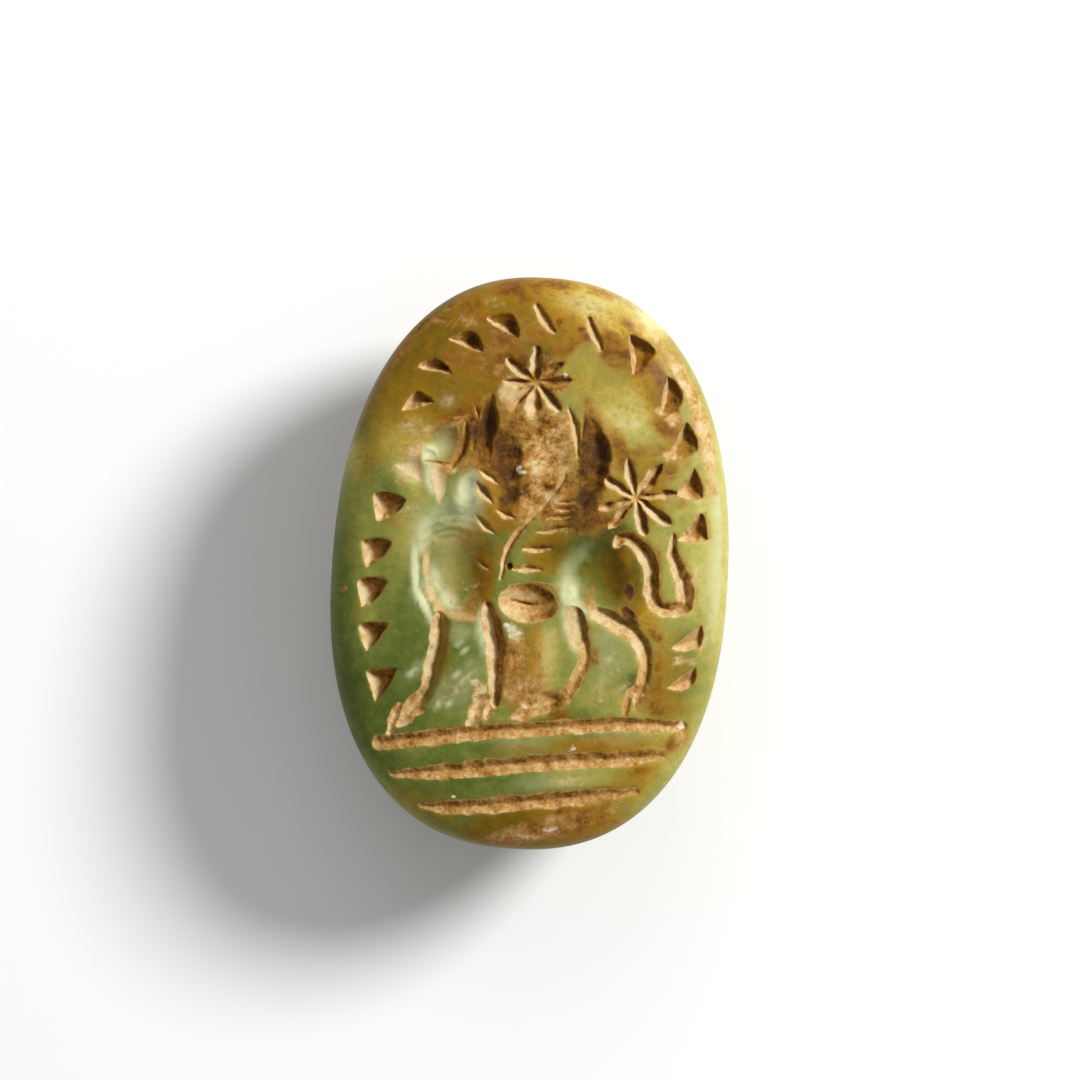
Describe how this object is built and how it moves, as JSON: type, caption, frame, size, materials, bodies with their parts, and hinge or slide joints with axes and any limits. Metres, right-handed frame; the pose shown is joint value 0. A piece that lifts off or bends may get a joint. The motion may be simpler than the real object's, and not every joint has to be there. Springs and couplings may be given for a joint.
{
  "type": "engraved bead seal",
  "caption": "Oval stone bead seal with a domed back, a string hole and an engraved winged lion, bearded and capped, with stars, ground lines and a border of small cuts.",
  "frame": {"origin": "centre of the small flat on the domed back, on which the seal lies", "axes": "+Z out through the engraved face, +Y to the top of the engraved scene along the oval's long side, +X to the right of the scene"},
  "size_m": [0.02, 0.0288, 0.0122],
  "materials": {
    "green_stone": "worn polish on mottled yellow-green translucent stone, with tan and brown earth left in the cuts"
  },
  "bodies": {
    "root": {"seal_stone": "green_stone"}
  },
  "joints": []
}
